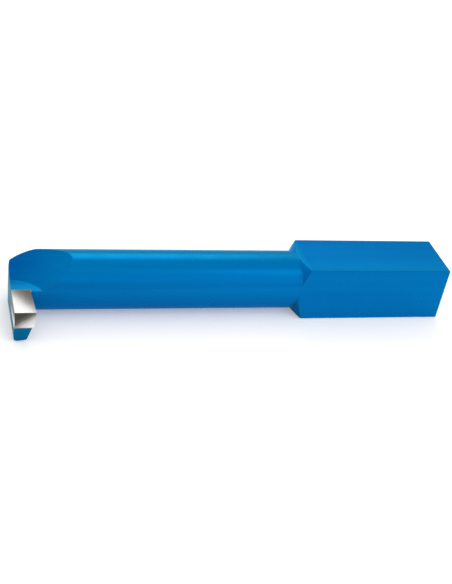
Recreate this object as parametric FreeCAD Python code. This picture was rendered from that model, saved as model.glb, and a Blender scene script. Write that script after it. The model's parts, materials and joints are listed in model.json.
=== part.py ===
import FreeCAD, Part
import math
import os

# Internal corner lathe tool: a square shank, a long round neck and a hooked head with a brazed carbide tip.
# Millimetres. The origin is the middle of the shank's base face, the head points to -X,
# the tip reaches out to -Y and +Z is up. The neck lies on the middle line of the shank.

os.makedirs("parts", exist_ok=True)

# Shank
shank_side = 16.0
shank_length = 42.0
shank_edge_radius = 0.3

# Neck and the turned shoulder that runs from it to the corners of the shank
neck_diameter = 16.0
neck_overhang = 81.5
shoulder_length = 1.9

# Carbide tip, its seat and the film of brazing metal between the two
rake_height = 1.6
tip_reach = 17.1
tip_inset = 0.8
tip_width = 5.5
tip_thickness = 5.0
tip_corner_radius = 0.3
braze_thickness = 0.2

# Broken edge round the outside of the end face
end_edge_radius = 0.8

# Ground angles of the head, in degrees
end_lead_angle = 1.5
end_relief_angle = 6.0
end_clearance_angle = 3.0
front_clearance_angle = 5.5
tip_side_flare_angle = 2.0
tip_side_clearance_angle = 1.5

# Hook below the tip
hook_set_back = 0.6
hook_side_angle = 15.0
hook_underside_angle = 10.0
hook_flat_width = 1.2
hook_lift = 0.2
hook_corner_radius = 0.5

# Milled scoop behind the tip: a hollow round wall that rises from the flat ledge
scoop_radius = 15.1
scoop_plan_angle = 42.8
scoop_rise_angle = 31.8
scoop_wall_lean = 63.7
scoop_foot_radius = 1.2
ledge_rear_offset = 2.6

# Rounding of the nose's back corner, so that the head clears a small bore
nose_rounding_radius = 19.0
nose_rounding_length = 11.3
nose_rounding_tilt = 45.0

# Places that follow from the sizes above
axis_height = shank_side / 2
neck_radius = neck_diameter / 2
rear_x = shank_length / 2
shoulder_tip_x = -shank_length / 2
shoulder_root_x = shoulder_tip_x - shoulder_length
cutting_corner_x = shoulder_tip_x - neck_overhang
rake_z = axis_height + rake_height
seat_z = rake_z - tip_thickness
underside_z = axis_height - neck_radius
front_y = -tip_reach
tip_back_y = tip_inset - neck_radius
tip_length = tip_back_y - front_y
beyond = 2 * (tip_reach + neck_diameter)
near_enough = 0.01

x_direction = FreeCAD.Vector(1, 0, 0)
y_direction = FreeCAD.Vector(0, 1, 0)


def slope(angle):
    return math.tan(math.radians(angle))


def flat_face(points):
    return Part.Face(Part.makePolygon(points + points[:1]))


def flat_sided_solid(lower_points, upper_points):
    """A solid with flat sides between two outlines of as many corners."""
    faces = [flat_face(lower_points), flat_face(upper_points)]
    for index in range(len(lower_points)):
        side = [lower_points[index - 1], lower_points[index], upper_points[index], upper_points[index - 1]]
        faces.append(flat_face(side))
    return Part.makeSolid(Part.makeShell(faces))


def end_face_x(y, z):
    """The ground end face: it leads towards the tip, falls away below it, and more so behind the neck's middle."""
    lead = slope(end_lead_angle) * (min(y, 0) - front_y)
    relief = slope(end_relief_angle) * max(y, 0)
    clearance = slope(end_clearance_angle) * (rake_z - z)
    return cutting_corner_x + lead + relief + clearance


def front_face_y(z):
    return front_y + slope(front_clearance_angle) * (rake_z - z)


def ground_envelope():
    """All that the grinding of the end face and of the front face leaves standing."""
    outlines = []
    for z in (underside_z - beyond, rake_z + beyond):
        front = front_face_y(z)
        outlines.append([
            FreeCAD.Vector(end_face_x(front, z), front, z),
            FreeCAD.Vector(rear_x + beyond, front, z),
            FreeCAD.Vector(rear_x + beyond, beyond, z),
            FreeCAD.Vector(end_face_x(beyond, z), beyond, z),
            FreeCAD.Vector(end_face_x(0, z), 0, z),
        ])
    return flat_sided_solid(outlines[0], outlines[1])


def shank():
    """The square bar, with its front corners turned to a cone."""
    length = rear_x - shoulder_root_x
    bar = Part.makeBox(length, shank_side, shank_side, FreeCAD.Vector(shoulder_root_x, -shank_side / 2, 0))
    long_edges = [edge for edge in bar.Edges if edge.BoundBox.XLength > length / 2]
    bar = bar.makeFillet(shank_edge_radius, long_edges)
    corner_reach = shank_side / math.sqrt(2)
    cone_rate = (corner_reach - neck_radius) / shoulder_length
    cone_length = 2 * shoulder_length
    wide_radius = neck_radius + cone_rate * cone_length
    start = FreeCAD.Vector(shoulder_root_x, 0, axis_height)
    cone = Part.makeCone(neck_radius, wide_radius, cone_length, start, x_direction)
    rest_start = start + x_direction * cone_length
    rest = Part.makeCylinder(wide_radius, length, rest_start, x_direction)
    return bar.common(cone.fuse(rest))


def edges_on_end_face(steel):
    chosen = []
    for edge in steel.Edges:
        middle = edge.valueAt((edge.FirstParameter + edge.LastParameter) / 2)
        on_ridge = edge.BoundBox.YLength < near_enough and abs(middle.y) < near_enough
        if abs(middle.x - end_face_x(middle.y, middle.z)) < near_enough and not on_ridge:
            chosen.append(edge)
    return chosen


def neck():
    """The round neck up to the end face, with the nose rounded off and the edge there broken."""
    start = FreeCAD.Vector(cutting_corner_x, 0, axis_height)
    bar = Part.makeCylinder(neck_radius, shoulder_root_x - cutting_corner_x, start, x_direction)
    bar = bar.common(ground_envelope()).cut(nose_rounding())
    return bar.makeFillet(end_edge_radius, edges_on_end_face(bar))


def hook():
    """The arm below the tip, drawn seen from the front and pushed back to the neck's middle line."""
    right_x = cutting_corner_x + tip_width - hook_set_back
    foot_z = underside_z + hook_lift
    flat_end_x = end_face_x(front_y, foot_z) + hook_flat_width
    side_rate = slope(hook_side_angle)
    rise_rate = slope(hook_underside_angle)
    foot_reach = right_x - side_rate * (seat_z - foot_z) - flat_end_x
    corner_rise = foot_reach * rise_rate / (1 - side_rate * rise_rate)
    corner_x = flat_end_x + corner_rise / rise_rate
    outline = [
        FreeCAD.Vector(cutting_corner_x, 0, foot_z),
        FreeCAD.Vector(flat_end_x, 0, foot_z),
        FreeCAD.Vector(corner_x, 0, foot_z + corner_rise),
        FreeCAD.Vector(right_x, 0, seat_z),
        FreeCAD.Vector(cutting_corner_x, 0, seat_z),
    ]
    arm = flat_face(outline).extrude(y_direction * (2 * front_y)).common(ground_envelope())
    end_corner = [edge for edge in edges_on_end_face(arm) if edge.BoundBox.ZMax < foot_z + near_enough]
    arm = arm.makeFillet(end_edge_radius, end_corner)
    side_corner = [
        edge for edge in arm.Edges
        if edge.BoundBox.YLength > abs(front_y) / 2 and abs(edge.CenterOfMass.x - corner_x) < near_enough
    ]
    return arm.makeFillet(hook_corner_radius, side_corner)


def scoop():
    """What the cutter takes away above the ledge: a round bar that lies askew, cut flat below."""
    plan = math.radians(scoop_plan_angle)
    rise = math.radians(scoop_rise_angle)
    lean = math.radians(scoop_wall_lean)
    along = FreeCAD.Vector(math.cos(rise) * math.cos(plan), math.cos(rise) * math.sin(plan), math.sin(rise))
    sideways = FreeCAD.Vector(math.sin(plan), -math.cos(plan), 0)
    upwards = sideways.cross(along)
    if upwards.z < 0:
        upwards = upwards * -1
    wall_normal = sideways * math.cos(lean) + upwards * math.sin(lean)
    ledge_rear = FreeCAD.Vector(end_face_x(-ledge_rear_offset, rake_z), -ledge_rear_offset, rake_z)
    middle = ledge_rear + wall_normal * scoop_radius
    start = middle - along * beyond
    bar = Part.makeCylinder(scoop_radius, 2 * beyond, start, along)
    above = Part.makeBox(4 * beyond, 4 * beyond, 2 * beyond)
    above.translate(FreeCAD.Vector(cutting_corner_x - 2 * beyond, -2 * beyond, rake_z))
    removed = bar.common(above)
    foot = [edge for edge in removed.Edges if abs(edge.BoundBox.ZMax - rake_z) < near_enough]
    return removed.makeFillet(scoop_foot_radius, foot)


def nose_rounding():
    """What a large wheel takes off the back corner of the nose. Its axis lies across the neck, tilted."""
    tilt = math.radians(nose_rounding_tilt)
    generator = FreeCAD.Vector(0, math.cos(tilt), -math.sin(tilt))
    outwards = FreeCAD.Vector(0, math.sin(tilt), math.cos(tilt))
    start_x = cutting_corner_x + nose_rounding_length
    neck_middle = FreeCAD.Vector(start_x, 0, axis_height)
    wheel_middle = neck_middle + outwards * (neck_radius - nose_rounding_radius)
    kept = Part.makeCylinder(nose_rounding_radius, 2 * beyond, wheel_middle - generator * beyond, generator)
    block = Part.makeBox(2 * beyond, 2 * beyond, 2 * beyond)
    block.translate(FreeCAD.Vector(-2 * beyond, -beyond, 0))
    turn = FreeCAD.Rotation(x_direction, -nose_rounding_tilt)
    block.Placement = FreeCAD.Placement(wheel_middle, turn).multiply(block.Placement)
    return block.cut(kept)


def tip_blank():
    """The tip before its end and front faces are ground together with the steel."""
    left_x = cutting_corner_x - tip_width
    right_front_x = cutting_corner_x + tip_width
    outlines = []
    for z, narrower in ((seat_z, slope(tip_side_clearance_angle) * tip_thickness), (rake_z, 0)):
        front_right_x = right_front_x - narrower
        back_right_x = front_right_x - slope(tip_side_flare_angle) * tip_length
        outlines.append([
            FreeCAD.Vector(left_x, front_y - tip_width, z),
            FreeCAD.Vector(front_right_x + slope(tip_side_flare_angle) * tip_width, front_y - tip_width, z),
            FreeCAD.Vector(back_right_x, tip_back_y, z),
            FreeCAD.Vector(left_x, tip_back_y, z),
        ])
    return flat_sided_solid(outlines[0], outlines[1])


def carbide_tip():
    tip = tip_blank().common(ground_envelope())
    corner = [
        edge for edge in tip.Edges
        if abs(edge.CenterOfMass.y - front_face_y(edge.CenterOfMass.z)) < near_enough
        and edge.CenterOfMass.x < cutting_corner_x + tip_width / 4
        and edge.BoundBox.ZLength > tip_thickness / 2
    ]
    return tip.makeFillet(tip_corner_radius, corner)


def seat_cavity():
    """The milled seat: the tip's blank grown by the brazing film on its three closed sides."""
    side_x = cutting_corner_x + tip_width - slope(tip_side_flare_angle) * tip_length + braze_thickness
    cavity = Part.makeBox(beyond, beyond, beyond)
    cavity.translate(FreeCAD.Vector(side_x - beyond, tip_back_y + braze_thickness - beyond, seat_z - braze_thickness))
    outer = Part.makeBox(beyond, beyond, beyond)
    outer.translate(FreeCAD.Vector(side_x - beyond / 2, -neck_radius - beyond, seat_z - braze_thickness))
    return cavity.fuse(outer)


def head_and_shank_blank():
    """The steel of the whole tool before the seat is milled."""
    steel = neck().fuse(hook()).fuse(shank()).removeSplitter()
    return steel.cut(scoop())


def steel_body(blank):
    return blank.cut(seat_cavity())


def braze_film(blank, tip_before_corner):
    film = blank.common(seat_cavity())
    return film.cut(tip_before_corner)


def write_part(shape, name):
    solid = shape.Solids[0] if len(shape.Solids) == 1 else shape
    solid.exportStep("parts/" + name + ".step")
    print(name, "solids", len(shape.Solids), "valid", shape.isValid(), "volume", round(shape.Volume, 2))


blank = head_and_shank_blank()
write_part(steel_body(blank), "steel_body")
write_part(carbide_tip(), "carbide_tip")
write_part(braze_film(blank, tip_blank()), "braze_film")
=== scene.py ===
import json
import math

import bpy
from bpy.props import FloatProperty, FloatVectorProperty, PointerProperty
from mathutils import Matrix, Vector

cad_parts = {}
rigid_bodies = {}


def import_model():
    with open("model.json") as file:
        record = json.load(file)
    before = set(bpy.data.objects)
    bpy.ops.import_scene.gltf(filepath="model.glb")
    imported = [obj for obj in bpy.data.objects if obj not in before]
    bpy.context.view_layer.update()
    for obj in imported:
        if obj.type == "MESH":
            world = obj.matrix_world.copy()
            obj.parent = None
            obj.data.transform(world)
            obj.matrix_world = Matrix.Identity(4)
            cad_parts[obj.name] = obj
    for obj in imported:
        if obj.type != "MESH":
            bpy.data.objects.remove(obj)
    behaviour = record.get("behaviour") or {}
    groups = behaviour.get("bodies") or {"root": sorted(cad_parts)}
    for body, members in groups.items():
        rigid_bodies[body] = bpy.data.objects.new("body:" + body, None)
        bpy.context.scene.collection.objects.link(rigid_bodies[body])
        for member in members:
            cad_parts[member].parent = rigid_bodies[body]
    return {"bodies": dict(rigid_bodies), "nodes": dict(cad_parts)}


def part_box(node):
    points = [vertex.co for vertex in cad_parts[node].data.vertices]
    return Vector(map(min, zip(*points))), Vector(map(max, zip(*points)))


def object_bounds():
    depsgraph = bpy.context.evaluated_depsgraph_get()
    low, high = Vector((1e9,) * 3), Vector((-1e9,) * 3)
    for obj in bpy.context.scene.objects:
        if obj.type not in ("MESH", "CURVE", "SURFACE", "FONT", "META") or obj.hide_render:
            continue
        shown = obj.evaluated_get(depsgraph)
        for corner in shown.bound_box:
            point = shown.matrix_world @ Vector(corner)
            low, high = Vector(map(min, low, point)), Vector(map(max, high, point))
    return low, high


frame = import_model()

# Dresses an internal corner lathe tool: blue lacquer on the steel, a ground carbide tip and its brazing film.
# Everything is in metres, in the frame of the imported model: the head points to -X, the tip reaches out to -Y.

bl_info = {
    "name": "Corner Lathe Tool",
    "version": (1, 0, 0),
    "blender": (4, 5, 0),
    "location": "View3D > Sidebar > Lathe Tool",
    "description": "Finishes a brazed internal lathe tool and sets up its studio",
    "category": "Object",
}

CAD_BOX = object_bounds()
TIP_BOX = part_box("carbide_tip")
BODY_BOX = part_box("steel_body")

MILLIMETRE = 0.001


def from_place(place, *offsets):
    """Places on an axis, in metres, at offsets in millimetres from a place."""
    return tuple(place + offset * MILLIMETRE for offset in offsets)


# The tool's landmarks: the head's end face, the height of the ledge and the rake face, and the middle of the
# turned shoulder between neck and shank. The neck's axis and the shank's middle lie at Y = 0.
HEAD_END = BODY_BOX[0].x
BACK_SIDE = BODY_BOX[1].y
TOP_HEIGHT = BODY_BOX[1].z
RAKE_HEIGHT = TIP_BOX[1].z
SHOULDER_X = -22 * MILLIMETRE
MIDDLE_Y = 0.0

# A pair of places or slopes goes from where a finish starts to where it is full

# The shoulder's reach from its middle, the start of the shank, and where the tone changes along the neck,
# lighter towards the shank as painted light
SHOULDER_REACH = from_place(0.0, 3.0, 1.5)
SHANK_START = from_place(SHOULDER_X, -0.5, 1.5)
NECK_LENGTH = from_place(HEAD_END, 17.0, 72.0)

# The upward part of a face's normal where the painted light from above starts, on level faces, on the crest,
# and on undersides and under the shoulder where painted shade starts
TOP_LIGHT_SLOPE = (0.4, 0.8)
LEVEL_SLOPE = (0.95, 0.99)
CREST_SLOPE = (0.95, 0.995)
UNDERSIDE_SLOPE = (0.0, -0.6)
SHOULDER_UNDERSIDE_SLOPE = (-0.05, -0.5)

# The part of the normal along X on the head's end face, and on either end
END_SLOPE = (-0.75, -0.95)
ENDWISE_SLOPE = (0.85, 0.95)

# The crest of the neck and the front of the shank's top, where highlights are painted, and the back of the
# shank's top, where shade is painted; and how strong the painted shade is underneath and under the shoulder
CREST_HEIGHT = from_place(TOP_HEIGHT, -0.8, -0.3)
CREST_SHARE = 0.9
CLEAR_OF_SHOULDER = from_place(SHOULDER_X, 3.0, 12.0)
FRONT_BAND = from_place(MIDDLE_Y, 0.0, -8.0)
FRONT_BAND_SHARE = 0.35
BACK_BAND = from_place(BACK_SIDE, -16.0, 0.0)
UNDERSIDE_SHARE = 0.75
SHOULDER_UNDERSIDE_SHARE = 0.9

# The painted shade at the head: a slanted front over the crest, and the side below the ledge
SHADE_SLANT = -0.9
CREST_SHADE = from_place(HEAD_END + SHADE_SLANT * RAKE_HEIGHT, 9.6, -1.9)
SIDE_SHADE = from_place(HEAD_END, 18.0, 6.0)
SIDE_SHADE_SHARE = 0.6
BELOW_LEDGE = from_place(RAKE_HEIGHT, -0.05, -0.4)

# The painted tint of the ledge's highlight, and the darker teal on the hook
LEDGE_MARGIN = 0.3 * MILLIMETRE
LEDGE_SHARE = 0.7
HOOK_REACH = from_place(MIDDLE_Y, -6.0, -11.0)

# The paler end face: where it lies, how much of it shows away from the tip and beside it, and its lines' tones
END_REACH = from_place(HEAD_END, 6.0, 4.0)
TIP_SIDE = from_place(MIDDLE_Y, 4.0, -4.0)
END_COVER = (0.3, 1.0)
END_LINE_TONES = (0.85, 1.25)

# The part of a noise that counts
NOISE_WIDE = (0.3, 0.7)
NOISE_HIGH = (0.35, 0.7)
NOISE_NARROW = (0.35, 0.65)

# The lacquer's clouds, streaks, lines, chips and relief: densities per metre, shares, strengths and depths
CLOUD_DENSITY = 45.0
CLOUD_SHARES = (0.85, 1.0)
STREAK_STRETCH = (12.0, 700.0, 700.0)
STREAK_SHARE = 0.12
CUT_LINE_STRETCH = (1.0, 90.0, 2400.0)
CUT_LINE_STRENGTH = 0.35
CUT_LINE_DEPTH = 0.03 * MILLIMETRE
CHIP_DENSITY = 900.0
WEAR_SHARES = (0.2, 0.6)
GLOSS_CLOUD_DENSITY = 160.0
LACQUER_GLOSS_CHANGES = (-0.03, 0.05)
PEEL_STRENGTH = 0.16
PEEL_DEPTH = 0.06 * MILLIMETRE
LACQUER_METALLIC = 0.4
LACQUER_SPECULAR_LEVEL = 0.01

# The rounded edges: how finely they are sampled, and how well their normal agrees with the true one
# on a face and on an edge
BEVEL_SAMPLES = 8
EDGE_ALIGNMENT = (0.995, 0.86)

# How bright the ground carbide is painted, standing in for its reflection: from the free corner to the joint on
# the rake face, and from the top corner down to the free corner on the flanks
TOP_TONES = ((0.18, 0.62), (0.32, 0.51), (0.38, 0.42), (0.44, 0.32), (0.52, 0.18), (0.65, 0.07), (0.80, 0.02))
FLANK_TONES = ((0.30, 0.01), (0.47, 0.10), (0.53, 0.29), (0.62, 0.49), (0.70, 0.74), (0.90, 1.00))
RAKE_DIAGONAL = 0.9
FLANK_DIAGONAL = 1.1
DIAGONAL_LENGTH = 2.0

# The end flank of the tip is painted bright below and in front, as a reflection
END_FLANK_DIAGONAL = -0.6
END_FLANK_REACH = (0.2, 0.65)
END_FLANK_TONES = (0.06, 1.0)

# The part of a normal above which a face of the tip looks squarely along an axis
SQUARELY = 0.7

# The carbide's smears and grinding lines
SMEAR_STRETCH = (180.0, 90.0, 120.0)
SMEAR_SHARE = 0.08
LINE_STRETCH = (1.0, 0.02, 1.0)
LINE_TURN = math.radians(12)
LINE_STRENGTH = 0.15
LINE_DEPTH = 0.01 * MILLIMETRE
CARBIDE_GLOSS_CHANGES = (-0.05, 0.08)

# The flux scale on the brazing metal
FLUX_SCALE_DENSITY = 1800.0
FLUX_DARKENING = 0.35
FLUX_STRENGTH = 0.3
FLUX_DEPTH = 0.02 * MILLIMETRE
BRAZE_METALLIC = 0.8
BRAZE_ROUGHNESS = 0.5

# The floor lies a hair below the tool, so that the two flat faces don't share a plane
FLOOR_GAP = 0.05 * MILLIMETRE
MOTTLE_DENSITY = 8.0
MOTTLE_DARKENING = 0.985
FLOOR_ROUGHNESS = 0.9
FLOOR_SPECULAR_LEVEL = 0.1
WHITE = (1.0, 1.0, 1.0, 1.0)

# Each softbox: its name, its place from the tool's middle, its width and height, and its power's setting
SOFTBOXES = (
    ("back_softbox", (0.15, 0.64, 0.61), 0.35, 0.5, "back_power"),
    ("front_softbox", (0.43, -0.38, 0.69), 0.25, 0.34, "front_power"),
    ("fill_softbox", (0.14, -0.77, 0.45), 0.8, 0.4, "fill_power"),
)

# The camera's sensor in millimetres, and the nearest and farthest that it sees
SENSOR_WIDTH = 36.0
NEAREST_VIEW = 0.01
FARTHEST_VIEW = 20.0

# Where a Mix node keeps its two colours and their result, and its two numbers and theirs
MIX_COLOUR_SOCKETS = (6, 7)
MIX_COLOUR_RESULT = 2
MIX_NUMBER_SOCKETS = (2, 3)
MIX_NUMBER_RESULT = 0


class LacquerSettings(bpy.types.PropertyGroup):
    """Blue lacquer on the forged and milled steel."""

    colour: FloatVectorProperty(
        name="Lacquer", description="Colour of the lacquer on the sides of the neck",
        subtype="COLOR", size=3, min=0.0, max=1.0, default=(0.0, 0.143, 0.455),
    )
    # Painted light: the sides of the shank are lighter than the neck's, as more light falls there
    lit_shank_colour: FloatVectorProperty(
        name="Lighter shank lacquer", description="Colour on the sides of the shank, painted lighter where more light falls",
        subtype="COLOR", size=3, min=0.0, max=1.0, default=(0.0, 0.172, 0.540),
    )
    # Real wear and spray streaks, and also a painted highlight on the front of the shank's top
    thin_and_highlight_colour: FloatVectorProperty(
        name="Thin lacquer and highlight", description="Colour where the lacquer wears thin, and of the painted highlight on the front of the shank's top",
        subtype="COLOR", size=3, min=0.0, max=1.0, default=(0.004, 0.235, 0.575),
    )
    # Painted shade: darker towards the head, underneath and at the back of the shank's top
    shade_colour: FloatVectorProperty(
        name="Lacquer in painted shade", description="Colour of the painted shade towards the head, underneath and at the back of the shank's top",
        subtype="COLOR", size=3, min=0.0, max=1.0, default=(0.0, 0.088, 0.350),
    )
    # Painted shade, darkest on the underside of the turned shoulder
    shoulder_shade_colour: FloatVectorProperty(
        name="Shoulder underside",
        description="Colour of the painted shade on the underside of the turned shoulder",
        subtype="COLOR", size=3, min=0.0, max=1.0, default=(0.0, 0.046, 0.138),
    )
    # Painted light: upward faces are lighter and less blue, as light from above falls on them
    top_light_colour: FloatVectorProperty(
        name="Top light tint", description="Colour on upward faces, painted lighter and less blue as light from above falls on them",
        subtype="COLOR", size=3, min=0.0, max=1.0, default=(0.0, 0.172, 0.462),
    )
    # Painted highlight: the tint of the highlight along the crest of the neck
    crest_highlight_colour: FloatVectorProperty(
        name="Crest highlight tint", description="Colour along the crest of the neck, a painted tint of its highlight",
        subtype="COLOR", size=3, min=0.0, max=1.0, default=(0.003, 0.176, 0.385),
    )
    sheen_tint: FloatVectorProperty(
        name="Gloss tint", description="Tint of the gloss",
        subtype="COLOR", size=3, min=0.0, max=1.0, default=(0.02, 0.9, 0.8),
    )
    # A darker teal on the hook
    teal_colour: FloatVectorProperty(
        name="Hook tint", description="Darker teal colour on the hook",
        subtype="COLOR", size=3, min=0.0, max=1.0, default=(0.002, 0.113, 0.246),
    )
    # A paler grey-blue on the end face beside the tip
    end_colour: FloatVectorProperty(
        name="Ground end",
        description="Paler grey-blue colour on the end face beside the tip",
        subtype="COLOR", size=3, min=0.0, max=1.0, default=(0.040, 0.105, 0.170),
    )
    # Painted highlight: the tint of the highlight on the level ledge
    ledge_highlight_colour: FloatVectorProperty(
        name="Ledge tint", description="Colour on the level ledge, a painted tint of its highlight",
        subtype="COLOR", size=3, min=0.0, max=1.0, default=(0.002, 0.155, 0.335),
    )
    roughness: FloatProperty(
        name="Roughness", description="Roughness of the lacquer", min=0.0, max=1.0, default=0.28,
    )
    shank_dulling: FloatProperty(
        name="Shank dulling", description="How much rougher the lacquer is on top of the shank",
        min=0.0, max=1.0, default=0.17,
    )
    # Painted shade at the back of the shank's top
    shank_back_shade: FloatProperty(
        name="Shank back shade", description="How strong the painted shade is at the back of the shank's top",
        min=0.0, max=1.0, default=0.45,
    )
    edge_radius: FloatProperty(
        name="Edge build-up", description="How far the lacquer rounds an edge",
        min=0.0, default=0.25 * MILLIMETRE, unit="LENGTH", precision=5,
    )
    shoulder_radius: FloatProperty(
        name="Shoulder build-up", description="How far the lacquer rounds the edges of the turned shoulder",
        min=0.0, default=0.7 * MILLIMETRE, unit="LENGTH", precision=5,
    )
    peel_size: FloatProperty(
        name="Orange peel", description="Width of the ripples in the lacquer",
        min=0.0, default=1.6 * MILLIMETRE, unit="LENGTH", precision=5,
    )


class CarbideSettings(bpy.types.PropertyGroup):
    """Ground cemented carbide and the metal that holds it."""

    # The tip's tones are a painted reflection, from the bright colour to the dark one
    bright_reflection_colour: FloatVectorProperty(
        name="Ground carbide", description="Colour of the ground carbide where its painted reflection is brightest",
        subtype="COLOR", size=3, min=0.0, max=1.0, default=(0.80, 0.79, 0.77),
    )
    dark_reflection_colour: FloatVectorProperty(
        name="Painted dark reflection", description="Colour of the carbide where its painted reflection is darkest",
        subtype="COLOR", size=3, min=0.0, max=1.0, default=(0.055, 0.05, 0.04),
    )
    roughness: FloatProperty(
        name="Roughness", description="Roughness of the ground faces", min=0.0, max=1.0, default=0.38,
    )
    grinding_pitch: FloatProperty(
        name="Grinding pitch", description="Distance between grinding lines",
        min=0.0, default=0.12 * MILLIMETRE, unit="LENGTH", precision=6,
    )
    braze_colour: FloatVectorProperty(
        name="Brazing metal", description="Colour of the brazing film at the joint",
        subtype="COLOR", size=3, min=0.0, max=1.0, default=(0.34, 0.29, 0.21),
    )


class StudioSettings(bpy.types.PropertyGroup):
    """Floor, soft lights and the camera at the photograph's viewing angle."""

    floor_colour: FloatVectorProperty(
        name="Floor", description="Colour of the plain floor",
        subtype="COLOR", size=3, min=0.0, max=1.0, default=(0.95, 0.95, 0.95),
    )
    floor_glow: FloatProperty(
        name="Floor glow", description="Light that comes through the floor from below", min=0.0, default=0.25,
    )
    floor_size: FloatProperty(
        name="Floor size", description="Side of the square floor", min=0.1, default=6.0, unit="LENGTH",
    )
    room_brightness: FloatProperty(
        name="Room", description="Brightness of the pale room all round", min=0.0, default=0.85,
    )
    back_power: FloatProperty(
        name="Back light", description="Power of the softbox behind the tool",
        min=0.0, default=1.5, unit="POWER",
    )
    front_power: FloatProperty(
        name="Front light", description="Power of the small softbox on the camera's right",
        min=0.0, default=0.55, unit="POWER",
    )
    fill_power: FloatProperty(
        name="Fill light", description="Power of the large softbox in front of the tool",
        min=0.0, default=0.29, unit="POWER",
    )
    camera_place: FloatVectorProperty(
        name="Camera place", description="Where the camera stands",
        subtype="TRANSLATION", size=3, unit="LENGTH", default=(-0.145139, -0.259068, 0.186903),
    )
    camera_heading: FloatProperty(
        name="Heading", description="Turn of the view from +Y towards +X",
        subtype="ANGLE", default=math.radians(21.80),
    )
    camera_dip: FloatProperty(
        name="Dip", description="How far the view looks down", subtype="ANGLE", default=math.radians(33.30),
    )
    camera_roll: FloatProperty(
        name="Roll", description="Turn of the camera about its view",
        subtype="ANGLE", default=math.radians(12.13),
    )
    focal_length: FloatProperty(
        name="Focal length", description="Focal length on a 36 mm sensor, in millimetres",
        min=1.0, default=73.97,
    )


def with_alpha(colour):
    return (colour[0], colour[1], colour[2], 1.0)


class MaterialSheet:
    """A new node material and short ways to add and join its nodes."""

    def __init__(self, name):
        self.material = bpy.data.materials.new(name)
        self.material.use_nodes = True
        self.tree = self.material.node_tree
        self.shader = self.tree.nodes["Principled BSDF"]

    def add(self, kind, label, **values):
        node = self.tree.nodes.new(kind)
        node.label = label
        node.name = label
        for key, value in values.items():
            setattr(node, key, value)
        return node

    def join(self, source, target):
        self.tree.links.new(source, target)

    def feed(self, target, value):
        """Gives a socket another node's result, or a plain number."""
        if isinstance(value, bpy.types.NodeSocket):
            self.join(value, target)
        else:
            target.default_value = value

    def feed_colour(self, target, colour):
        """Gives a socket another node's result, or a plain colour."""
        self.feed(target, colour if isinstance(colour, bpy.types.NodeSocket) else with_alpha(colour))

    def place(self):
        return self.add("ShaderNodeTexCoord", "Place").outputs["Object"]

    def scaled_place(self, label, scale, turn=(0.0, 0.0, 0.0)):
        mapping = self.add("ShaderNodeMapping", label)
        mapping.inputs["Scale"].default_value = scale
        mapping.inputs["Rotation"].default_value = turn
        self.join(self.place(), mapping.inputs["Vector"])
        return mapping.outputs["Vector"]

    def axis(self, label):
        """The place along each of the three axes."""
        node = self.add("ShaderNodeSeparateXYZ", label)
        self.join(self.place(), node.inputs["Vector"])
        return node.outputs

    def facing(self, label):
        """The parts of the surface's normal along the three axes."""
        node = self.add("ShaderNodeSeparateXYZ", label)
        self.join(self.add("ShaderNodeNewGeometry", "Surface").outputs["Normal"], node.inputs["Vector"])
        return node.outputs

    def noise(self, label, vector, scale=1.0, detail=3.0, roughness=0.5):
        node = self.add("ShaderNodeTexNoise", label)
        self.join(vector, node.inputs["Vector"])
        node.inputs["Scale"].default_value = scale
        node.inputs["Detail"].default_value = detail
        node.inputs["Roughness"].default_value = roughness
        return node.outputs["Fac"]

    def math(self, operation, label, first, second=0.0, third=0.0):
        node = self.add("ShaderNodeMath", label, operation=operation)
        for socket, value in zip(node.inputs, (first, second, third)):
            self.feed(socket, value)
        return node.outputs[0]

    def between(self, label, value, low, high, out_low=0.0, out_high=1.0):
        node = self.add("ShaderNodeMapRange", label)
        node.inputs["From Min"].default_value = low
        node.inputs["From Max"].default_value = high
        node.inputs["To Min"].default_value = out_low
        node.inputs["To Max"].default_value = out_high
        self.join(value, node.inputs["Value"])
        return node.outputs["Result"]

    def blend(self, label, factor, first, second):
        """Goes from the first colour to the second as the factor goes from 0 to 1."""
        node = self.add("ShaderNodeMix", label, data_type="RGBA")
        self.feed(node.inputs["Factor"], factor)
        for socket, colour in zip(MIX_COLOUR_SOCKETS, (first, second)):
            self.feed_colour(node.inputs[socket], colour)
        return node.outputs[MIX_COLOUR_RESULT]

    def choose(self, label, factor, first, second):
        """Gives the first number where the factor is 0 and the second where it is 1."""
        node = self.add("ShaderNodeMix", label, data_type="FLOAT")
        self.feed(node.inputs["Factor"], factor)
        for socket, value in zip(MIX_NUMBER_SOCKETS, (first, second)):
            self.feed(node.inputs[socket], value)
        return node.outputs[MIX_NUMBER_RESULT]

    def ramp(self, label, factor, stops):
        """A grey ramp through the given places and shares."""
        node = self.add("ShaderNodeValToRGB", label)
        elements = node.color_ramp.elements
        while len(elements) < len(stops):
            elements.new(0.5)
        for element, (place, share) in zip(elements, stops):
            element.position = place
            element.color = (share, share, share, 1.0)
        self.feed(node.inputs["Fac"], factor)
        return node.outputs["Color"]

    def bump(self, label, height, strength, distance, normal=None):
        node = self.add("ShaderNodeBump", label)
        node.inputs["Strength"].default_value = strength
        node.inputs["Distance"].default_value = distance
        self.join(height, node.inputs["Height"])
        if normal is not None:
            self.join(normal, node.inputs["Normal"])
        return node.outputs["Normal"]

    def edge_mask(self, rounded_normal):
        """1 on an edge that the bevel rounds, 0 on the faces."""
        true_normal = self.add("ShaderNodeNewGeometry", "True surface").outputs["Normal"]
        dot = self.add("ShaderNodeVectorMath", "Edge test", operation="DOT_PRODUCT")
        self.join(rounded_normal, dot.inputs[0])
        self.join(true_normal, dot.inputs[1])
        return self.between("Edge mask", dot.outputs["Value"], *EDGE_ALIGNMENT)


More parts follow.
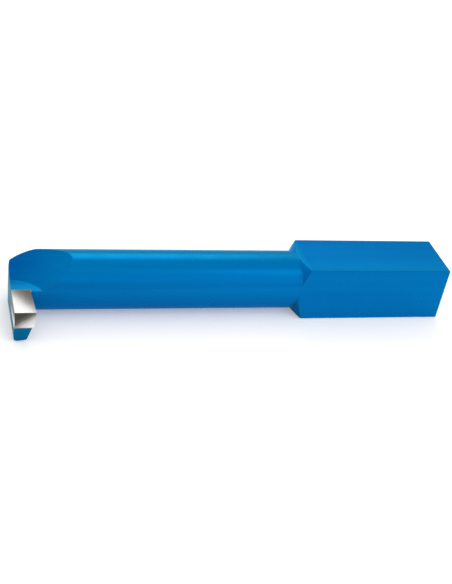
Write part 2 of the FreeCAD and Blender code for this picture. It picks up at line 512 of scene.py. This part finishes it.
class LacquerSheet(MaterialSheet):
    """The lacquer's nodes: its painted top light, highlights and shade, its tints on the ledge, hook and end
    face, its streaks and its wear.
    """

    def __init__(self, name, lacquer):
        super().__init__(name)
        self.lacquer = lacquer
        self.along = self.axis("Along the tool")
        self.normal = self.facing("Which way the face looks")
        from_shoulder = self.math("SUBTRACT", "From the shoulder", self.along["X"], SHOULDER_X)
        distance = self.math("ABSOLUTE", "Distance from the shoulder", from_shoulder)
        self.near_shoulder = self.between("Near the shoulder", distance, *SHOULDER_REACH)
        self.on_shank = self.between("On the drawn shank", self.along["X"], *SHANK_START)
        # Painted light on upward faces: the share that takes the lighter top colour
        self.lit_from_above = self.between("Drained share", self.normal["Z"], *TOP_LIGHT_SLOPE)
        self.shank_top = self.math("MULTIPLY", "Top of the shank", self.on_shank, self.lit_from_above)
        self.cut_lines = self.noise(
            "Saw and grinding lines", self.scaled_place("Across the end", CUT_LINE_STRETCH), detail=2.0)

    def rounded_normal(self):
        """The normal with the edges rounded by the lacquer, more so around the turned shoulder."""
        bevel = self.add("ShaderNodeBevel", "Rounded edges", samples=BEVEL_SAMPLES)
        radius = self.between("Edge radius", self.near_shoulder, 0.0, 1.0,
                              self.lacquer.edge_radius, self.lacquer.shoulder_radius)
        self.join(radius, bevel.inputs["Radius"])
        return bevel.outputs["Normal"]

    def sides_and_tops(self):
        """The tone of the sides, and of the tops, painted lighter and less blue as light from above falls on
        them, with painted highlights on the crest and the front of the shank's top.
        """
        lacquer = self.lacquer
        # Lighter towards the shank: painted light, fading along the neck towards the head
        lengthwise = self.between("Towards the shank", self.along["X"], *NECK_LENGTH)
        side = self.blend("Side colour", lengthwise, lacquer.colour, lacquer.lit_shank_colour)
        top = self.blend("Top colour", self.crest_share(), lacquer.top_light_colour, lacquer.crest_highlight_colour)
        # A painted highlight, lighter towards the front of the shank's top
        front_highlighted = self.blend("Thinned towards the front", self.front_band_share(), top, lacquer.thin_and_highlight_colour)
        return self.blend("Drained colour", self.lit_from_above, side, front_highlighted)

    def crest_share(self):
        """The line along the top of the round neck, where the tint of its highlight is painted."""
        off_shank = self.math("SUBTRACT", "Off the shank", 1.0, self.on_shank)
        level = self.between("Level share", self.normal["Z"], *CREST_SLOPE, 0.0, CREST_SHARE)
        topmost = self.between("Top share", self.along["Z"], *CREST_HEIGHT)
        crest = self.math("MULTIPLY", "Crest", level, topmost)
        return self.math("MULTIPLY", "High on the neck", off_shank, crest)

    def front_band_share(self):
        """The front half of the shank's top, clear of the shoulder, where a highlight is painted."""
        level = self.between("Level top", self.normal["Z"], *LEVEL_SLOPE)
        clear = self.between("Clear of the shoulder", self.along["X"], *CLEAR_OF_SHOULDER)
        forwards = self.between("Towards the front edge", self.along["Y"], *FRONT_BAND, 0.0, FRONT_BAND_SHARE)
        on_top = self.math("MULTIPLY", "Level on the shank", clear, level)
        return self.math("MULTIPLY", "Front of the shank's top", on_top, forwards)

    def head_shade_share(self):
        """How strong the painted shade is towards the head, over the crest and beside the head."""
        slanted = self.math(
            "MULTIPLY_ADD", "Down from the crest", self.along["Z"], SHADE_SLANT, self.along["X"])
        over_crest = self.between("Towards the crest", slanted, *CREST_SHADE)
        beside = self.between("Beside the head", self.along["X"], *SIDE_SHADE, 0.0, SIDE_SHADE_SHARE)
        below_ledge = self.between("Below the ledge", self.along["Z"], *BELOW_LEDGE)
        on_side = self.math("MULTIPLY", "Pooled below the ledge", beside, below_ledge)
        head_shade = self.math("MAXIMUM", "Towards the head", over_crest, on_side)
        cloud = self.noise("Clouding", self.place(), CLOUD_DENSITY, 2.0)
        clouded = self.between("Cloud share", cloud, *NOISE_WIDE, *CLOUD_SHARES)
        return self.math("MULTIPLY", "Pooling", head_shade, clouded)

    def under_and_back_shade_share(self):
        """How strong the painted shade is below, and at the back of the shank's top."""
        below = self.between("Gathered below", self.normal["Z"], *UNDERSIDE_SLOPE, 0.0, UNDERSIDE_SHARE)
        backwards = self.between(
            "Towards the back edge", self.along["Y"], *BACK_BAND, 0.0, self.lacquer.shank_back_shade)
        return self.math("MULTIPLY_ADD", "Thicker on the shank", self.shank_top, backwards, below)

    def painted_shade(self, tone):
        """Painted shade towards the head, underneath and at the back of the shank's top, and darkest under the
        shoulder.
        """
        share = self.math("MAXIMUM", "Pooled share", self.head_shade_share(), self.under_and_back_shade_share())
        deepened = self.blend("Pooled colour", share, tone, self.lacquer.shade_colour)
        # Painted shade under the turned shoulder
        turned_under = self.between(
            "Turned under", self.normal["Z"], *SHOULDER_UNDERSIDE_SLOPE, 0.0, SHOULDER_UNDERSIDE_SHARE)
        under = self.math("MULTIPLY", "Pooled under the shoulder", self.near_shoulder, turned_under)
        return self.blend("Shoulder underside", under, deepened, self.lacquer.shoulder_shade_colour)

    def ledge_and_hook_tinted(self, tone):
        """A painted tint of the highlight on the ledge, and a darker teal on the hook."""
        at_ledge = self.math("COMPARE", "At the ledge's height", self.along["Z"], RAKE_HEIGHT, LEDGE_MARGIN)
        flat = self.between("Flat share", self.normal["Z"], *LEVEL_SLOPE, 0.0, LEDGE_SHARE)
        on_ledge = self.math("MULTIPLY", "On the ledge", at_ledge, flat)
        ledge_toned = self.blend("Ledge colour", on_ledge, tone, self.lacquer.ledge_highlight_colour)
        on_hook = self.between("On the hook", self.along["Y"], *HOOK_REACH)
        return self.blend("Hook colour", on_hook, ledge_toned, self.lacquer.teal_colour)

    def streaked(self, tone):
        """Faint streaks that the spray left along the tool."""
        streak = self.noise("Spray streaks", self.scaled_place("Lengthwise", STREAK_STRETCH))
        share = self.between("Streak share", streak, *NOISE_HIGH, 0.0, STREAK_SHARE)
        return self.blend("Streaked colour", share, tone, self.lacquer.thin_and_highlight_colour)

    def ground(self, tone):
        """A paler grey-blue on the end face beside the tip, with lighter and darker lines."""
        faces_end = self.between("Faces the end", self.normal["X"], *END_SLOPE)
        at_end = self.between("At the end", self.along["X"], *END_REACH)
        on_end = self.math("MULTIPLY", "On the end face", faces_end, at_end)
        beside_tip = self.between("Beside the tip", self.along["Y"], *TIP_SIDE, *END_COVER)
        share = self.math("MULTIPLY", "Ground end", on_end, beside_tip)
        darker, lighter = ([part * film for part in self.lacquer.end_colour] for film in END_LINE_TONES)
        lines = self.between("Line share", self.cut_lines, *NOISE_NARROW)
        return self.blend("Ground colour", share, tone, self.blend("Film colour", lines, darker, lighter))

    def worn(self, tone, rounded_normal):
        """Thin along the edges, in small chips."""
        chips = self.noise("Worn edges", self.place(), CHIP_DENSITY, 4.0, 0.6)
        chipped = self.between("Wear share", chips, *NOISE_NARROW, *WEAR_SHARES)
        wear = self.math("MULTIPLY", "Edge wear", self.edge_mask(rounded_normal), chipped)
        return self.blend("Lacquer colour", wear, tone, self.lacquer.thin_and_highlight_colour)

    def gloss(self):
        """The roughness: slow clouds, and duller on top of the shank."""
        clouds = self.noise("Gloss clouds", self.place(), GLOSS_CLOUD_DENSITY, 4.0)
        low, high = (self.lacquer.roughness + change for change in LACQUER_GLOSS_CHANGES)
        rough = self.between("Gloss variation", clouds, *NOISE_WIDE, low, high)
        return self.math("MULTIPLY_ADD", "Duller shank", self.shank_top, self.lacquer.shank_dulling, rough)

    def relief(self, rounded_normal):
        """Ripples all over, and saw and grinding lines on the two ends."""
        peel = self.noise("Orange peel", self.place(), 1.0 / self.lacquer.peel_size, 1.0)
        ripples = self.bump("Peel relief", peel, PEEL_STRENGTH, PEEL_DEPTH, rounded_normal)
        endwise = self.math("ABSOLUTE", "Endwise part", self.normal["X"])
        end_share = self.between("End share", endwise, *ENDWISE_SLOPE)
        lines = self.math("MULTIPLY", "Lines on the ends", self.cut_lines, end_share)
        return self.bump("Relief on the ends", lines, CUT_LINE_STRENGTH, CUT_LINE_DEPTH, ripples)


def lacquer_material():
    """Glossy blue lacquer: rippled, streaked, painted lighter on top and darker towards the head and
    underneath, and worn on the edges.
    """
    lacquer = bpy.context.scene.lathe_tool_lacquer
    sheet = LacquerSheet("blue_lacquer", lacquer)
    shader = sheet.shader
    rounded_normal = sheet.rounded_normal()
    tone = sheet.painted_shade(sheet.sides_and_tops())
    tone = sheet.streaked(sheet.ledge_and_hook_tinted(tone))
    tone = sheet.worn(sheet.ground(tone), rounded_normal)
    sheet.join(tone, shader.inputs["Base Color"])
    sheet.join(sheet.gloss(), shader.inputs["Roughness"])
    sheet.join(sheet.relief(rounded_normal), shader.inputs["Normal"])
    shader.inputs["Metallic"].default_value = LACQUER_METALLIC
    shader.inputs["Specular IOR Level"].default_value = LACQUER_SPECULAR_LEVEL
    shader.inputs["Specular Tint"].default_value = with_alpha(lacquer.sheen_tint)
    return sheet.material


def diagonal_tone(sheet, face, first, weight, second, stain, tones):
    """How bright a face of the tip is painted, standing in for its reflection, in steps along its diagonal and
    through its smears.
    """
    diagonal = sheet.math("MULTIPLY_ADD", face + " diagonal", first, weight, second)
    stained = sheet.math("ADD", face + " with its smears", diagonal, stain)
    share = sheet.math("DIVIDE", face + " share", stained, DIAGONAL_LENGTH)
    return sheet.ramp(face + " tone", share, tones)


def tip_tone(sheet):
    """How bright the carbide is painted, standing in for its reflection: 1 at its free corners, 0 towards the
    joint, where it is painted darkest.
    """
    low, high = TIP_BOX
    axes = sheet.axis("On the tip")
    across = sheet.between("Across the tip", axes["X"], low.x, high.x)
    along = sheet.between("Along the tip", axes["Y"], low.y, high.y)
    height = sheet.between("Up the tip", axes["Z"], low.z, high.z)
    depth = sheet.math("SUBTRACT", "Below the rake face", 1.0, height)
    smear = sheet.noise("Smear", sheet.scaled_place("Stretched", SMEAR_STRETCH))
    stain = sheet.between("Smear share", smear, *NOISE_WIDE, -SMEAR_SHARE, SMEAR_SHARE)
    top = diagonal_tone(sheet, "Rake face", across, RAKE_DIAGONAL, along, stain, TOP_TONES)
    side = diagonal_tone(sheet, "Flank", depth, FLANK_DIAGONAL, across, stain, FLANK_TONES)
    normal = sheet.facing("Which way the ground face looks")
    end_diagonal = sheet.math("MULTIPLY_ADD", "End flank diagonal", along, END_FLANK_DIAGONAL, depth)
    end = sheet.between("Bright below and in front", end_diagonal, *END_FLANK_REACH, *END_FLANK_TONES)
    on_end = sheet.math("LESS_THAN", "On the end flank", normal["X"], -SQUARELY)
    end_change = sheet.math("SUBTRACT", "End flank tone", end, side)
    flank = sheet.math("MULTIPLY_ADD", "Flanks", on_end, end_change, side)
    on_top = sheet.math("GREATER_THAN", "On the rake face", normal["Z"], SQUARELY)
    return sheet.choose("Shade", on_top, flank, top)


def carbide_material():
    """Ground carbide: fine grinding lines, and a painted reflection, bright at the free corner and dark towards
    the joint.
    """
    carbide = bpy.context.scene.lathe_tool_carbide
    sheet = MaterialSheet("ground_carbide")
    shader = sheet.shader
    colour = sheet.blend("Carbide colour", tip_tone(sheet), carbide.dark_reflection_colour, carbide.bright_reflection_colour)
    sheet.join(colour, shader.inputs["Base Color"])
    direction = sheet.scaled_place("Line direction", LINE_STRETCH, (0.0, 0.0, LINE_TURN))
    lines = sheet.noise("Grinding lines", direction, 1.0 / carbide.grinding_pitch, 2.0)
    low, high = (carbide.roughness + change for change in CARBIDE_GLOSS_CHANGES)
    sheet.join(sheet.between("Gloss of the lines", lines, *NOISE_WIDE, low, high), shader.inputs["Roughness"])
    sheet.join(sheet.bump("Line relief", lines, LINE_STRENGTH, LINE_DEPTH), shader.inputs["Normal"])
    shader.inputs["Metallic"].default_value = 1.0
    return sheet.material


def braze_material():
    """Dull brazing metal with a little flux scale."""
    braze_colour = bpy.context.scene.lathe_tool_carbide.braze_colour
    sheet = MaterialSheet("brazing_metal")
    shader = sheet.shader
    scale = sheet.noise("Flux scale", sheet.place(), FLUX_SCALE_DENSITY, 4.0, 0.6)
    darker = [part * FLUX_DARKENING for part in braze_colour]
    scaled = sheet.between("Scale share", scale, *NOISE_HIGH)
    colour = sheet.blend("Braze colour", scaled, braze_colour, darker)
    sheet.join(colour, shader.inputs["Base Color"])
    sheet.join(sheet.bump("Scale relief", scale, FLUX_STRENGTH, FLUX_DEPTH), shader.inputs["Normal"])
    shader.inputs["Metallic"].default_value = BRAZE_METALLIC
    shader.inputs["Roughness"].default_value = BRAZE_ROUGHNESS
    return sheet.material


def floor_material():
    """Matt white studio floor with a hardly visible mottling."""
    studio = bpy.context.scene.lathe_tool_studio
    sheet = MaterialSheet("studio_floor")
    shader = sheet.shader
    mottle = sheet.noise("Mottling", sheet.place(), MOTTLE_DENSITY, 2.0)
    duller = [part * MOTTLE_DARKENING for part in studio.floor_colour]
    sheet.join(sheet.blend("Floor colour", mottle, studio.floor_colour, duller), shader.inputs["Base Color"])
    shader.inputs["Emission Color"].default_value = WHITE
    shader.inputs["Emission Strength"].default_value = studio.floor_glow
    shader.inputs["Roughness"].default_value = FLOOR_ROUGHNESS
    shader.inputs["Specular IOR Level"].default_value = FLOOR_SPECULAR_LEVEL
    return sheet.material


def give_material(node_name, material):
    """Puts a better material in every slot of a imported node."""
    for slot in frame["nodes"][node_name].material_slots:
        slot.material = material


def deselect_all():
    for chosen in list(bpy.context.selected_objects):
        chosen.select_set(False)


def soft_light(name, target, offset, width, height, power):
    """One rectangular softbox at an offset from a target, turned towards it."""
    place = target + Vector(offset)
    bpy.ops.object.light_add(type="AREA", location=place)
    lamp = bpy.context.object
    lamp.name = name
    lamp.data.shape = "RECTANGLE"
    lamp.data.size = width
    lamp.data.size_y = height
    lamp.data.energy = power
    lamp.rotation_euler = (target - place).to_track_quat("-Z", "Y").to_euler()


class LATHETOOL_OT_lacquer_body(bpy.types.Operator):
    """Lacquers the steel body."""

    bl_idname = "lathetool.lacquer_body"
    bl_label = "Lacquer the steel body"

    def execute(self, context):
        give_material("steel_body", lacquer_material())
        return {"FINISHED"}


class LATHETOOL_OT_grind_tip(bpy.types.Operator):
    """Gives the carbide tip its ground faces and the joint its brazing metal."""

    bl_idname = "lathetool.grind_tip"
    bl_label = "Grind the carbide tip"

    def execute(self, context):
        give_material("carbide_tip", carbide_material())
        give_material("braze_film", braze_material())
        return {"FINISHED"}


class LATHETOOL_OT_build_studio(bpy.types.Operator):
    """Lays the floor, hangs the softboxes and stands the camera at the photograph's viewing angle."""

    bl_idname = "lathetool.build_studio"
    bl_label = "Build the studio"

    def execute(self, context):
        studio = context.scene.lathe_tool_studio
        self.clear_old_scene()
        self.lay_floor(studio)
        self.light_room(studio)
        self.hang_softboxes(studio)
        self.stand_camera(studio)
        context.scene.view_settings.view_transform = "Standard"
        return {"FINISHED"}

    def clear_old_scene(self):
        """Removes the lamp, camera and cube that an empty file may start with."""
        kept = set(frame["nodes"].values()) | set(frame["bodies"].values())
        for old in list(bpy.context.scene.objects):
            if old not in kept:
                bpy.data.objects.remove(old)

    def lay_floor(self, studio):
        deselect_all()
        height = CAD_BOX[0].z - FLOOR_GAP
        bpy.ops.mesh.primitive_plane_add(size=studio.floor_size, location=(0.0, 0.0, height))
        floor = bpy.context.object
        floor.name = "floor"
        floor.data.materials.append(floor_material())

    def light_room(self, studio):
        world = bpy.data.worlds.new("pale_room")
        world.use_nodes = True
        background = world.node_tree.nodes["Background"]
        background.inputs["Color"].default_value = WHITE
        background.inputs["Strength"].default_value = studio.room_brightness
        bpy.context.scene.world = world

    def hang_softboxes(self, studio):
        middle = (CAD_BOX[0] + CAD_BOX[1]) / 2
        for name, offset, width, height, power_setting in SOFTBOXES:
            soft_light(name, middle, offset, width, height, getattr(studio, power_setting))

    def stand_camera(self, studio):
        heading, dip, roll = studio.camera_heading, studio.camera_dip, studio.camera_roll
        ahead = Vector((math.sin(heading) * math.cos(dip), math.cos(heading) * math.cos(dip), -math.sin(dip)))
        level = Vector((math.cos(heading), -math.sin(heading), 0.0))
        upright = level.cross(ahead)
        right = math.cos(roll) * level + math.sin(roll) * upright
        up = math.cos(roll) * upright - math.sin(roll) * level
        turn = Matrix((right, up, -ahead)).transposed()
        bpy.ops.object.camera_add(location=studio.camera_place, rotation=turn.to_euler())
        camera = bpy.context.object
        camera.name = "photograph_camera"
        camera.data.lens = studio.focal_length
        camera.data.sensor_width = SENSOR_WIDTH
        camera.data.clip_start = NEAREST_VIEW
        camera.data.clip_end = FARTHEST_VIEW
        bpy.context.scene.camera = camera


class LATHETOOL_PT_sidebar(bpy.types.Panel):
    """Lists the steps and the values that they use."""

    bl_idname = "LATHETOOL_PT_sidebar"
    bl_label = "Corner Lathe Tool"
    bl_space_type = "VIEW_3D"
    bl_region_type = "UI"
    bl_category = "Lathe Tool"

    def draw(self, context):
        for step in STEPS:
            self.layout.operator(step.bl_idname)
        for group_name in SETTING_GROUPS:
            group = getattr(context.scene, group_name)
            box = self.layout.box()
            for name in group.__annotations__:
                box.prop(group, name)


SETTING_GROUPS = {
    "lathe_tool_lacquer": LacquerSettings,
    "lathe_tool_carbide": CarbideSettings,
    "lathe_tool_studio": StudioSettings,
}
STEPS = (LATHETOOL_OT_build_studio, LATHETOOL_OT_lacquer_body, LATHETOOL_OT_grind_tip)


def register():
    for name, group in SETTING_GROUPS.items():
        bpy.utils.register_class(group)
        setattr(bpy.types.Scene, name, PointerProperty(type=group))
    for step in STEPS:
        bpy.utils.register_class(step)
    bpy.utils.register_class(LATHETOOL_PT_sidebar)


def unregister():
    bpy.utils.unregister_class(LATHETOOL_PT_sidebar)
    for step in reversed(STEPS):
        bpy.utils.unregister_class(step)
    for name, group in SETTING_GROUPS.items():
        delattr(bpy.types.Scene, name)
        bpy.utils.unregister_class(group)


def main():
    register()
    deselect_all()
    bpy.ops.lathetool.build_studio()
    bpy.ops.lathetool.lacquer_body()
    bpy.ops.lathetool.grind_tip()


if __name__ == "__main__":
    main()
